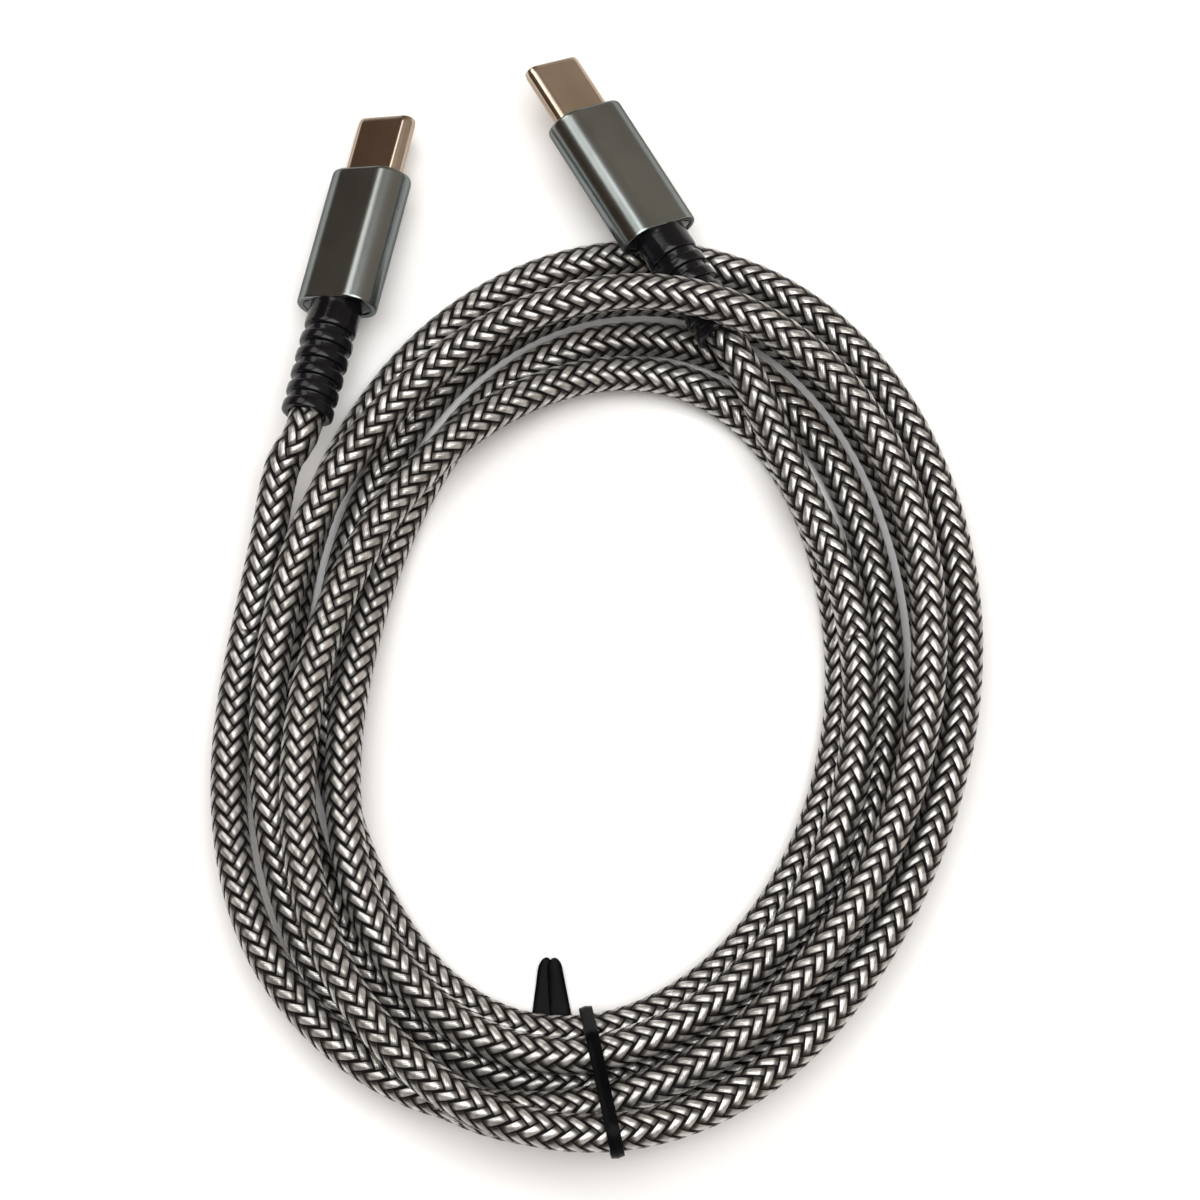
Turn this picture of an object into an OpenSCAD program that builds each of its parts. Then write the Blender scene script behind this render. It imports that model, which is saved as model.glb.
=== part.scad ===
// Braided cable with a flat plug at each end, wound into a leaning oval coil and held by a twist tie.
// The coil lies on the surface z = 0 round the origin, its long axis near +Y, and the plugs lie beyond it.

/* [Cord] */
// diameter over the braid
cord_d = 4.5; // [3.5:0.1:5.5]
// room between strands that lie side by side
strand_gap = 0.5; // [0.5:0.1:1.5]

/* [Coil] */
// half width of the oval that the strands lie along
coil_a = 36.4; // [34:0.2:40]
// half length of that oval
coil_b = 47.2; // [45:0.2:52]
// clockwise lean of the oval's long axis, in degrees
coil_lean = 12; // [8:1:16]

/* [Plug housing] */
// width of the metal housing
housing_w = 11; // [10.1:0.1:12]
// thickness of the metal housing
housing_h = 6; // [5.8:0.1:7]
// length of the metal housing
housing_l = 18.5; // [17.5:0.5:24]
// wall of the housing's hollow
housing_wall = 0.8; // [0.6:0.1:0.8]
// thickness of the wall that the plug's shell comes out of
front_wall = 2; // [1:0.1:2.5]

/* [Plug tip] */
// width of the plug's shell
shell_w = 8.25; // [8:0.05:8.4]
// thickness of the plug's shell
shell_h = 2.4; // [2.3:0.05:2.6]
// sheet that the shell is drawn from
shell_wall = 0.25; // [0.15:0.05:0.3]
// length of the shell in front of the housing
shell_out = 8.4; // [6.5:0.1:8.5]
// length of the shell behind the front wall
shell_in = 1; // [0.6:0.1:2]
// width of the slot that takes the mating tongue
slot_w = 6.8; // [6.5:0.05:6.9]
// height of that slot
slot_h = 1; // [0.9:0.02:1.1]
// depth of that slot from the insulator's front
slot_l = 5.4; // [4.5:0.1:6]
// how far the insulator sits behind the shell's mouth
mouth_step = 0.2; // [0.1:0.05:0.4]

/* [Contacts] */
// contacts in each row
contact_count = 12; // [8:1:12]
// distance from one contact to the next
contact_pitch = 0.5; // [0.45:0.01:0.52]
// width of one contact
contact_w = 0.25; // [0.15:0.01:0.35]
// thickness of one contact
contact_t = 0.12; // [0.08:0.01:0.16]
// length of one contact in the slot
contact_l = 4.8; // [3:0.1:5]
// thickness of the latch arm at each end of the slot
latch_t = 0.2; // [0.1:0.02:0.25]

/* [Boot] */
// length of the boot behind the housing
boot_l = 15; // [13:0.5:20]
// diameter over the boot's rings
boot_d = 6.5; // [6.2:0.1:7.5]
// diameter of the grooves between the rings
groove_d = 5.6; // [5.3:0.1:6]
// plain length next to the housing
boot_base = 3.5; // [2:0.1:5]
// rings on the boot
ring_count = 5; // [3:1:7]
// width of the groove in front of each ring
groove_w = 0.9; // [0.4:0.1:1]
// length of the flange held in the housing
flange_l = 1.5; // [1:0.1:2]
// depth of the wall that stops the cord in the boot
stop_l = 1.5; // [1:0.1:3]

/* [Inside the plug] */
// thickness of the circuit board
board_t = 0.8; // [0.6:0.1:1.2]
// width of the circuit board
board_w = 7.2; // [6.5:0.1:7.3]
// length of the circuit board
board_l = 9.8; // [8.4:0.1:10.5]
// diameter of the inner jacket of the cord
core_d = 3.4; // [2.4:0.1:3.6]
// length of the inner jacket beyond the flange
core_out = 1.5; // [1.2:0.1:2]
// wall of the crimped ferrule
ferrule_wall = 0.35; // [0.2:0.05:0.4]
// length of the crimped ferrule
ferrule_l = 1.3; // [0.8:0.1:1.4]
// diameter of one inner wire
wire_d = 0.56; // [0.4:0.02:0.58]
// distance from one inner wire to the next
wire_pitch = 0.62; // [0.6:0.01:0.66]
// length of each wire that lies on the board
wire_lap = 1; // [0.6:0.1:1.4]
// side of the square chip
chip_w = 3; // [2:0.1:3.6]
// height of the chip
chip_t = 0.6; // [0.4:0.1:0.9]
// length of one capacitor
capacitor_l = 1; // [0.6:0.1:1.2]
// width and height of one capacitor
capacitor_t = 0.5; // [0.3:0.05:0.6]
// thickness of the rails that carry the board
rail_t = 0.4; // [0.3:0.05:0.5]
// height of those rails
rail_h = 1.8; // [1.5:0.1:1.8]

/* [Twist tie] */
// width of the flat strap
tie_w = 1.9; // [1.5:0.1:3]
// thickness of the flat strap
tie_t = 0.5; // [0.4:0.05:0.7]
// room between the strap and the strands
tie_gap = 0.4; // [0.3:0.05:0.6]
// side of the square wire in the strap
tie_wire = 0.3; // [0.2:0.02:0.36]
// turn of the strap from square across the strands, in degrees
tie_turn = 5; // [0:1:8]
// room between the two loose ends
tail_gap = 0.1; // [0.05:0.05:0.5]
// length of the loose ends inside the coil
tail_l = 8; // [4:0.1:9]
// room between the strap and the nearer loose end
tail_room = 1.3; // [0.5:0.1:3]

/* [Hidden] */

$fn = 48;
// room between pieces that slide or snap into each other
fit = 0.05;
// the cord's middle height where it lies on the surface and is flattened by a tenth of its diameter
rest_z = 0.4 * cord_d;
pitch = cord_d + strand_gap;

// The weave: where each strand lies at twelve stations a turn, counted in strand pitches.
// A row is one turn. A lane is how far outside the oval the strand lies, a level how far above the surface.
lanes = [
    [1.8, 1.2, 1.6, 0.9, 0.3, 0.1, 0.2, 0.5, 0.9, 0.3, 0.1, 0.6],
    [1.2, 0.4, 0.8, 0.75, 0.7, 0.9, 0.9, 0.6, 0.5, 1.35, 1.35, 0.6],
    [-0.3, -0.75, -1.3, -1.3, -1.3, -1.35, -1.4, -1.45, -1.4, -0.85, -0.7, -0.95],
    [-0.8, -0.3, 0.2, 0.6, 1.0, 1.0, 0.9, 1.25, 1.4, 2.5, 2.4, 1.7],
    [0.7, -0.2, -0.2, -0.25, -0.2, -0.1, -0.3, -0.4, -0.4, 0.3, 0.3, -0.4],
    [-1.2, -1.35, -0.8, -0.75, -0.7, -0.65, -0.7, -1.1, -1.5]];
levels = [
    [0.9, 0.1, 0.9, 1.1, 1.1, 1.5, 1.8, 1.7, 1.8, 3.2, 3.2, 1.5],
    [1.0, 0.95, 0.3, 0.0, 0.0, 0.0, 0.0, 0.0, 0.0, 0.0, 0.0, 0.0],
    [0.0, 0.0, 0.0, 0.0, 0.0, 0.0, 0.0, 0.0, 0.0, 0.0, 0.0, 0.8],
    [1.0, 1.75, 1.6, 2.4, 1.9, 1.1, 1.1, 0.7, 0.0, 0.0, 0.0, 0.0],
    [0.0, 0.0, 0.0, 0.0, 0.0, 0.0, 0.0, 0.0, 0.0, 0.0, 0.0, 0.0],
    [0.0, 0.9, 1.0, 1.0, 1.1, 1.1, 1.1, 1.05, 1.0]];
first_angle = 285;
turn_rings = 24;
cord_sides = 6;
lead_sides = 8;

// The strands settle in rounds: they push apart below the reach, even out and keep near the chosen weave.
settle_rounds = 150;
settle_reach = 1.08;
push_share = 0.8;
ease_share = 0.12;
keep_share = 0.02;

// The strap goes round this ring of every turn, slid a little along it.
// It lifts the strands there by its own thickness.
tie_ring = 8;
tie_slide = 0.6;
tie_reach = 5;
tie_lift = (tie_gap + tie_t + cord_d / 2 - rest_z) / pitch;

// Each plug lies this far from its end of the coil, to the middle of its housing's rear face, and is turned
// by a heading from +Y, a nose-down tilt and a roll, in degrees.
plug_a_off = [7.25, 26.7, -0.02 * pitch];
plug_a_turn = [-12.4, 6, -29];
plug_b_off = [-17.95, 34.1, 0.36 * pitch];
plug_b_turn = [30.6, 2, 30];
// the cord leaves the boot straight for this length before it bends, and the coil for this one
boot_lead = 2;
coil_lead = 1;

cavity_w = housing_w - 2 * housing_wall;
cavity_h = housing_h - 2 * housing_wall;
shell_rear = housing_l - front_wall - shell_in;
shell_front = housing_l + shell_out;
insulator_front = shell_front - mouth_step;
insulator_w = shell_w - 2 * shell_wall - 2 * fit;
insulator_h = shell_h - 2 * shell_wall - 2 * fit;
slot_rear = insulator_front - slot_l;
board_front = shell_rear - fit;
board_rear = board_front - board_l;
core_front = flange_l + core_out;
bore_r = cord_d / 2 + fit;
bore_l = boot_l - stop_l;
ring_pitch = (boot_l - boot_base) / ring_count;
tail_off = 1.5 * tie_w + tail_gap / 2 + tail_room;

function at(v, i) = v[min(max(i, 0), len(v) - 1)];
function total(v) = [for (x = v) 1] * v;
function unit(v) = v / norm(v);

// A point of the coil: ring k, at a lane and level of the weave.
function spot(k, place) =
    let (u = first_angle - 360 / turn_rings * k)
    let (out = unit([coil_b * sin(u), coil_a * cos(u)]))
    let (p = [coil_a * sin(u), coil_b * cos(u)] + out * place[0] * pitch)
    concat(leaned(p), rest_z + place[1] * pitch);
function leaned(p) =
    [p[0] * cos(coil_lean) + p[1] * sin(coil_lean), p[1] * cos(coil_lean) - p[0] * sin(coil_lean)];

// The chosen weave with one more ring halfway between stations, on a smooth curve through four of them.
weave = [for (r = [0 : len(lanes) - 1]) for (s = [0 : len(lanes[r]) - 1]) [lanes[r][s], levels[r][s]]];
last_ring = 2 * (len(weave) - 1);
function halfway(i) = (9 * (at(weave, i) + at(weave, i + 1)) - at(weave, i - 1) - at(weave, i + 2)) / 16;
function lowest(k) = tie_lift * max(0, 1 - abs(k % turn_rings - tie_ring) / tie_reach);
function grounded(k, place) = [place[0], max(place[1], lowest(k))];
goal = [for (k = [0 : last_ring]) grounded(k, k % 2 == 0 ? weave[k / 2] : halfway((k - 1) / 2))];

// One settling round, and the weave after so many of them.
function pushed(p, k) = total([for (j = [k % turn_rings : turn_rings : last_ring])
    let (d = p[k] - p[j])
    let (l = norm(d))
    j == k || l >= settle_reach ? [0, 0] : d / max(l, 0.001) * (settle_reach - l) / 2]);
function eased(p, k) = (p[k - 1] + p[k + 1]) / 2 - p[k];
function nudged(p, k) =
    p[k] + push_share * pushed(p, k) + ease_share * eased(p, k) + keep_share * (goal[k] - p[k]);
function held(k) = k < 2 || k > last_ring - 2;
function settling(p) = [for (k = [0 : last_ring]) held(k) ? goal[k] : grounded(k, nudged(p, k))];
function settled(p, rounds) = rounds == 0 ? p : settled(settling(p), rounds - 1);

// The two rings at each end stay as chosen. The ends run on straight for one cord diameter, to the leads.
function chosen(k) = spot(k, goal[k]);
function run_on(p, q) = p + unit(p - q) * cord_d;
plug_a = [chosen(0) + plug_a_off, plug_a_turn];
plug_b = [chosen(last_ring) + plug_b_off, plug_b_turn];
function coil_line(places) =
    let (p = [for (k = [0 : last_ring]) spot(k, places[k])])
    concat([run_on(p[0], p[1])], p, [run_on(p[last_ring], p[last_ring - 1])]);

// The least gap between strands, on points along the line that are a third of a turn or more apart.
function fine_line(p) = [for (k = [0 : len(p) - 2]) for (f = [0 : 0.25 : 0.75])
    p[k] * (1 - f) + p[k + 1] * f];
function least_gap(p) = min([for (i = [0 : len(p) - 1]) for (j = [i + 4 * turn_rings / 3 : len(p) - 1])
    norm(p[i] - p[j])]) - cord_d;

// A ring of points square to a direction, none below the surface, and a closed tube along a line of them.
function ring(centre, along, sides) =
    let (side = unit(cross(along, [0, 0, 1])))
    let (up = cross(side, unit(along)))
    [for (i = [0 : sides - 1])
        let (v = centre + cord_d / 2 * (cos(360 / sides * i) * side + sin(360 / sides * i) * up))
        [v[0], v[1], max(0, v[2])]];
module tube(line, sides) {
    last = len(line) - 1;
    points = [for (k = [0 : last]) each ring(line[k], at(line, k + 1) - at(line, k - 1), sides)];
    start_cap = [for (i = [1 : sides - 2]) [0, i, i + 1]];
    end_cap = [for (i = [1 : sides - 2]) [last * sides, last * sides + i + 1, last * sides + i]];
    wall_a = [for (k = [0 : last - 1]) for (i = [0 : sides - 1])
        [k * sides + i, (k + 1) * sides + i, k * sides + (i + 1) % sides]];
    wall_b = [for (k = [0 : last - 1]) for (i = [0 : sides - 1])
        [k * sides + (i + 1) % sides, (k + 1) * sides + i, (k + 1) * sides + (i + 1) % sides]];
    polyhedron(points, concat(start_cap, wall_a, wall_b, end_cap));
}

// A lead: straight out of the coil's end, in a curve to the boot's axis, then straight to the bore's stop.
function aim(plug) =
    let (heading = plug[1][0])
    let (tilt = plug[1][1])
    [-sin(heading) * cos(tilt), cos(heading) * cos(tilt), -sin(tilt)];
function curve(a, b, c, d, t) =
    a * pow(1 - t, 3) + 3 * b * pow(1 - t, 2) * t + 3 * c * (1 - t) * t * t + d * pow(t, 3);
function lead_line(first, second, plug) =
    let (leave = unit(first - second))
    let (end = first + leave * (cord_d + fit))
    let (start = end + leave * coil_lead)
    let (mouth = plug[0] - aim(plug) * (boot_l + boot_lead))
    let (third = norm(mouth - start) / 3)
    concat(
        [end],
        [for (t = [0 : 0.25 : 1]) curve(start, start + leave * third, mouth - aim(plug) * third, mouth, t)],
        [plug[0] - aim(plug) * (stop_l + fit)]);

module at_plug(plug) {
    turn = plug[1];
    translate(plug[0]) rotate([0, 0, turn[0]]) rotate([-90 - turn[1], 0, 0]) rotate([0, 0, turn[2]])
        children();
}

// A flat bar with round long edges along +Z, and a plain box between two heights.
module stadium(w, h, z0, z1) {
    translate([0, 0, z0]) linear_extrude(z1 - z0) {
        square([w - h, h], center = true);
        for (s = [-1, 1]) translate([s * (w - h) / 2, 0]) circle(d = h);
    }
}
module slab(w, h, z0, z1) {
    translate([-w / 2, -h / 2, z0]) cube([w, h, z1 - z0]);
}

module housing_form() {
    color([0.33, 0.34, 0.36]) difference() {
        stadium(housing_w, housing_h, 0, housing_l);
        stadium(cavity_w, cavity_h, -1, housing_l - front_wall);
        stadium(shell_w + 2 * fit, shell_h + 2 * fit, 0, housing_l + 1);
    }
}

module shell_form() {
    color([0.78, 0.77, 0.74]) difference() {
        stadium(shell_w, shell_h, shell_rear, shell_front);
        stadium(shell_w - 2 * shell_wall, shell_h - 2 * shell_wall, shell_rear - 1, shell_front + 1);
    }
}

module boot_form() {
    color([0.05, 0.05, 0.055]) difference() {
        union() {
            stadium(cavity_w - 2 * fit, cavity_h - 2 * fit, 0, flange_l);
            translate([0, 0, -boot_l]) cylinder(d = groove_d, h = boot_l);
            translate([0, 0, -boot_base]) cylinder(d = boot_d, h = boot_base);
            for (i = [0 : ring_count - 1])
                translate([0, 0, -boot_l + i * ring_pitch]) cylinder(d = boot_d, h = ring_pitch - groove_w);
        }
        translate([0, 0, -boot_l - 1]) cylinder(r = bore_r, h = bore_l + 1);
        translate([0, 0, -stop_l - 1]) cylinder(d = core_d + 2 * fit, h = stop_l + flange_l + 2);
    }
}

module insulator_form() {
    color([0.06, 0.06, 0.065]) difference() {
        stadium(insulator_w, insulator_h, shell_rear, insulator_front);
        slab(slot_w, slot_h, slot_rear, insulator_front + 1);
    }
}

// One row of contacts along a wall of the slot: side -1 is the upper row.
module contacts_form(side) {
    first = -(contact_count - 1) / 2 * contact_pitch;
    color([0.85, 0.66, 0.24]) for (i = [0 : contact_count - 1])
        translate([first + i * contact_pitch, side * (slot_h - contact_t) / 2, 0])
            slab(contact_w, contact_t, slot_rear, slot_rear + contact_l);
}

module latch_form() {
    color([0.72, 0.72, 0.7]) for (s = [-1, 1])
        translate([s * (slot_w - latch_t) / 2, 0, 0])
            slab(latch_t, slot_h - 2 * contact_t, slot_rear, slot_rear + contact_l);
}

// Two rails beside the board, joined behind it by a bar under the wires.
module rails_form() {
    rail_x = board_w / 2 + fit + rail_t / 2;
    color([0.2, 0.2, 0.22]) {
        for (s = [-1, 1])
            translate([s * rail_x, 0, 0]) slab(rail_t, rail_h, board_rear - rail_t, board_front);
        translate([0, (rail_h + board_t) / 4 + fit / 2, board_rear])
            slab(2 * rail_x + rail_t, (rail_h - board_t) / 2 - fit, -rail_t, rail_t);
    }
}

module board_form() {
    color([0.1, 0.3, 0.16]) slab(board_w, board_t, board_rear, board_front);
}

module chip_form() {
    middle = (board_rear + wire_lap + board_front) / 2;
    color([0.09, 0.09, 0.1]) translate([0, -(board_t + chip_t) / 2, 0])
        slab(chip_w, chip_t, middle - chip_w / 2, middle + chip_w / 2);
}

module capacitors_form() {
    middle = (board_rear + wire_lap + board_front) / 2;
    side = (chip_w / 2 + board_w / 2) / 2;
    color([0.62, 0.5, 0.36]) for (x = [-side, side]) for (z = [middle - chip_w / 2, middle + chip_w / 2])
        translate([x, -(board_t + capacitor_t) / 2, 0])
            slab(capacitor_t, capacitor_t, z - capacitor_l / 2, z + capacitor_l / 2);
}

module wires_form() {
    shades = [[0.75, 0.1, 0.1], [0.1, 0.1, 0.1], [0.15, 0.5, 0.2], [0.85, 0.85, 0.83], [0.15, 0.25, 0.6]];
    first = -(len(shades) - 1) / 2 * wire_pitch;
    for (i = [0 : len(shades) - 1])
        color(shades[i]) translate([first + i * wire_pitch, -(board_t + wire_d + fit) / 2, core_front])
            cylinder(d = wire_d, h = board_rear + wire_lap - core_front);
}

module core_jacket_form() {
    color([0.9, 0.9, 0.88]) translate([0, 0, -stop_l]) cylinder(d = core_d, h = stop_l + core_front);
}

module ferrule_form() {
    color([0.7, 0.7, 0.68]) translate([0, 0, flange_l]) difference() {
        cylinder(d = core_d + 2 * fit + 2 * ferrule_wall, h = ferrule_l);
        translate([0, 0, -1]) cylinder(d = core_d + 2 * fit, h = ferrule_l + 2);
    }
}

module cord_coil() {
    line = coil_line(settled(goal, settle_rounds));
    echo(str("least gap between the coil's strands: ", least_gap(fine_line(line)), " mm"));
    color([0.62, 0.62, 0.63]) tube(line, cord_sides);
}
module cord_lead_a() {
    color([0.62, 0.62, 0.63]) tube(lead_line(chosen(0), chosen(1), plug_a), lead_sides);
}
module cord_lead_b() {
    color([0.62, 0.62, 0.63]) tube(lead_line(chosen(last_ring), chosen(last_ring - 1), plug_b), lead_sides);
}

// The tie's own plane: x outwards across the bundle, y up and z along the strands, from a point of the oval.
module at_tie() {
    u = first_angle - 360 / turn_rings * tie_ring;
    out = leaned([coil_b * sin(u), coil_a * cos(u)]);
    translate(concat(leaned([coil_a * sin(u), coil_b * cos(u)]), 0))
        rotate([0, 0, atan2(out[1], out[0]) + tie_turn]) rotate([90, 0, 0])
            translate([0, 0, -tie_slide]) children();
}
// The outline drawn taut round every strand in that plane, a set distance from the strands.
module taut(places, away) {
    hull() for (k = [tie_ring : turn_rings : last_ring])
        translate([places[k][0] * pitch, rest_z + places[k][1] * pitch]) circle(r = cord_d / 2 + away);
}
module tie_strap() {
    places = settled(goal, settle_rounds);
    color([0.05, 0.05, 0.055]) at_tie() difference() {
        linear_extrude(tie_w, center = true) taut(places, tie_gap + tie_t);
        linear_extrude(tie_w + 1, center = true) taut(places, tie_gap);
        linear_extrude(tie_wire + 2 * fit, center = true) taut(places, tie_gap + tie_wire + fit);
    }
}
module tie_wire_core() {
    places = settled(goal, settle_rounds);
    color([0.6, 0.6, 0.6]) at_tie() linear_extrude(tie_wire, center = true) difference() {
        taut(places, tie_gap + tie_wire);
        taut(places, tie_gap);
    }
}
// The two loose ends lie side by side on the surface inside the coil, on a flat foot beside the strap.
module tie_tail() {
    foot = lanes[2][4] * pitch;
    edge = foot - cord_d / 2;
    tip = edge - tail_l + tie_w / 2;
    color([0.05, 0.05, 0.055]) at_tie() {
        translate([foot - tie_w, 0, tie_w / 2]) cube([tie_w, tie_t, tail_off]);
        for (side = [-1, 1]) translate([tip, 0, tail_off + side * (tie_w + tail_gap) / 2]) {
            translate([0, 0, -tie_w / 2]) cube([foot - tip, tie_t, tie_w]);
            rotate([-90, 0, 0]) cylinder(d = tie_w, h = tie_t);
        }
    }
}

module housing_a() { at_plug(plug_a) housing_form(); }
module shell_a() { at_plug(plug_a) shell_form(); }
module boot_a() { at_plug(plug_a) boot_form(); }
module insulator_a() { at_plug(plug_a) insulator_form(); }
module contacts_upper_a() { at_plug(plug_a) contacts_form(-1); }
module contacts_lower_a() { at_plug(plug_a) contacts_form(1); }
module latch_arms_a() { at_plug(plug_a) latch_form(); }
module rails_a() { at_plug(plug_a) rails_form(); }
module board_a() { at_plug(plug_a) board_form(); }
module chip_a() { at_plug(plug_a) chip_form(); }
module capacitors_a() { at_plug(plug_a) capacitors_form(); }
module wires_a() { at_plug(plug_a) wires_form(); }
module core_jacket_a() { at_plug(plug_a) core_jacket_form(); }
module ferrule_a() { at_plug(plug_a) ferrule_form(); }

module housing_b() { at_plug(plug_b) housing_form(); }
module shell_b() { at_plug(plug_b) shell_form(); }
module boot_b() { at_plug(plug_b) boot_form(); }
module insulator_b() { at_plug(plug_b) insulator_form(); }
module contacts_upper_b() { at_plug(plug_b) contacts_form(-1); }
module contacts_lower_b() { at_plug(plug_b) contacts_form(1); }
module latch_arms_b() { at_plug(plug_b) latch_form(); }
module rails_b() { at_plug(plug_b) rails_form(); }
module board_b() { at_plug(plug_b) board_form(); }
module chip_b() { at_plug(plug_b) chip_form(); }
module capacitors_b() { at_plug(plug_b) capacitors_form(); }
module wires_b() { at_plug(plug_b) wires_form(); }
module core_jacket_b() { at_plug(plug_b) core_jacket_form(); }
module ferrule_b() { at_plug(plug_b) ferrule_form(); }

cord_coil();
cord_lead_a();
cord_lead_b();
tie_strap();
tie_wire_core();
tie_tail();
housing_a();
shell_a();
boot_a();
insulator_a();
contacts_upper_a();
contacts_lower_a();
latch_arms_a();
rails_a();
board_a();
chip_a();
capacitors_a();
wires_a();
core_jacket_a();
ferrule_a();
housing_b();
shell_b();
boot_b();
insulator_b();
contacts_upper_b();
contacts_lower_b();
latch_arms_b();
rails_b();
board_b();
chip_b();
capacitors_b();
wires_b();
core_jacket_b();
ferrule_b();
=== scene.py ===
"""Looks of a braided charging cable: an oval coil held by a twist tie, with a metal plug at each end.

The cord's route and the places of the plugs and the tie follow the same weave and sums as the solids.
Shapes are worked out in millimetres and become metres where a mesh is made.
"""

import bpy
import numpy as np
from mathutils import Matrix


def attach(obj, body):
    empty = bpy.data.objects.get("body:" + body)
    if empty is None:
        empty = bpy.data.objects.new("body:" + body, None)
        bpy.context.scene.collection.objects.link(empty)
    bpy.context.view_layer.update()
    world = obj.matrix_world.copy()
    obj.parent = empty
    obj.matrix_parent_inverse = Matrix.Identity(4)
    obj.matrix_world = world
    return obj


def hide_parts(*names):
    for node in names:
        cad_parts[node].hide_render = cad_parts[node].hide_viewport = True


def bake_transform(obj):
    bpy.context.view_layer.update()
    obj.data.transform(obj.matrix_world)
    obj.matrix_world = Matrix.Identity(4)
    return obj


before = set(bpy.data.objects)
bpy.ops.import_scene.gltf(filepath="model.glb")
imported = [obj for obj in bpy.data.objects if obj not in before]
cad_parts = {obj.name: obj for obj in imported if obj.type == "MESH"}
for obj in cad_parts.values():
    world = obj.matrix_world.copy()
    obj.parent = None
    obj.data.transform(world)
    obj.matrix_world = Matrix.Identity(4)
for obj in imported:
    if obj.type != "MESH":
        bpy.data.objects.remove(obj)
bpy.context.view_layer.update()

# A millimetre in metres, and the clearance in millimetres between pieces that fit together.
MM = 0.001
FIT = 0.05

# The cord, and the oval that its coil follows.
CORD_D = 4.5
STRAND_GAP = 0.5  # between strands side by side
PITCH = CORD_D + STRAND_GAP
REST_SHARE = 0.4  # height of the lowest strands' middles, in diameters
REST_Z = REST_SHARE * CORD_D
COIL_A = 36.4
COIL_B = 47.2
COIL_LEAN = np.radians(12)

# The weave: lane and level of the strand at twelve stations a turn, in strand pitches. A row is one turn.
LANES = [
    [1.8, 1.2, 1.6, 0.9, 0.3, 0.1, 0.2, 0.5, 0.9, 0.3, 0.1, 0.6],
    [1.2, 0.4, 0.8, 0.75, 0.7, 0.9, 0.9, 0.6, 0.5, 1.35, 1.35, 0.6],
    [-0.3, -0.75, -1.3, -1.3, -1.3, -1.35, -1.4, -1.45, -1.4, -0.85, -0.7, -0.95],
    [-0.8, -0.3, 0.2, 0.6, 1.0, 1.0, 0.9, 1.25, 1.4, 2.5, 2.4, 1.7],
    [0.7, -0.2, -0.2, -0.25, -0.2, -0.1, -0.3, -0.4, -0.4, 0.3, 0.3, -0.4],
    [-1.2, -1.35, -0.8, -0.75, -0.7, -0.65, -0.7, -1.1, -1.5]]
LEVELS = [
    [0.9, 0.1, 0.9, 1.1, 1.1, 1.5, 1.8, 1.7, 1.8, 3.2, 3.2, 1.5],
    [1.0, 0.95, 0.3, 0.0, 0.0, 0.0, 0.0, 0.0, 0.0, 0.0, 0.0, 0.0],
    [0.0, 0.0, 0.0, 0.0, 0.0, 0.0, 0.0, 0.0, 0.0, 0.0, 0.0, 0.8],
    [1.0, 1.75, 1.6, 2.4, 1.9, 1.1, 1.1, 0.7, 0.0, 0.0, 0.0, 0.0],
    [0.0, 0.0, 0.0, 0.0, 0.0, 0.0, 0.0, 0.0, 0.0, 0.0, 0.0, 0.0],
    [0.0, 0.9, 1.0, 1.0, 1.1, 1.1, 1.1, 1.05, 1.0]]
FIRST_ANGLE = 285
TURN_RINGS = 24

# How the strands settle: rounds, the distance below which they push, and the share of each pull in a round.
SETTLE_ROUNDS = 150
SETTLE_REACH = 1.08
PUSH_SHARE = 0.8
EASE_SHARE = 0.12
KEEP_SHARE = 0.02

# The twist tie.
TIE_RING = 8  # of each turn, where it goes round the strands
TIE_SLIDE = 0.6  # along the strands from there
TIE_REACH = 5  # rings on each side over which it lifts the strands
TIE_W = 1.9
TIE_T = 0.5
TIE_GAP = 0.4  # between the strap and the strands
TIE_TURN = np.radians(5)
TIE_LIFT = (TIE_GAP + TIE_T + CORD_D / 2 - REST_Z) / PITCH

# What shows of the strap.
STRAP_W = 1.6
RIDGE_H = 0.1  # over the wire
RIDGE_SPREAD = 0.35  # in half widths of the strap

# The tie's two loose ends: the sizes of their solids, then those of what shows.
TAIL_GAP = 0.1  # between the two ends
TAIL_ROOM = 1.3  # between the strap and the nearer end
TAIL_L = 8.0  # past the innermost strand
TAIL_SHIFT = 0.6  # further along the strands than the solids
TAIL_SHORT = 0.8 * TIE_W  # before the solids' tips, where the rounding starts
TAIL_W = 3.2
TAIL_TAPER = 0.42  # share of the width that is lost on the way to the tip
TAIL_SPREAD = 1.4  # from the middle between the ends to each of them, at the foot
TAIL_CLOSE = 0.8  # by which each draws nearer to that middle on the way
TAIL_LEAN = 1.6  # by which both lean towards the strap on the way
TAIL_TIP_T = 0.35  # share of the thickness that is left at the tip
TIP_TURN = (0.1, 1.5)  # angles of the quarter circle that rounds each side of the tip
TAIL_OFF_FLOOR = 0.02
TAIL_RISE = (0.9, 0.5)  # of the nearer and the further end on the way
TAIL_STEP = 0.3  # by which the nearer end stops short of the further one
INNER_TURN = 2  # the weave's row that lies innermost at the tie

# The plugs: housing, shell, boot, and the wires inside.
HOUSING = (11.0, 6.0, 18.5)  # width, height and length
HOUSING_WALL = 0.8
FRONT_WALL = 2.0  # of the housing, where the shell comes out
SHELL = (8.25, 2.4, 8.4)  # width, height and length outside the housing
SHELL_WALL = 0.25
SHELL_IN = 1.0  # length behind the front wall
BOOT_L = 15.0
BOOT_BASE = 3.5  # plain length next to the housing
BOOT_RINGS = 5
GROOVE_D = 5.6
GROOVE_W = 0.9
FLANGE_L = 1.5  # of the boot, held in the housing
STOP_L = 1.5  # depth of the wall that stops the cord in the boot
CORE_D = 3.4  # of the cord's inner jacket
WIRE_PITCH = 0.62  # from one inner wire to the next

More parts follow.
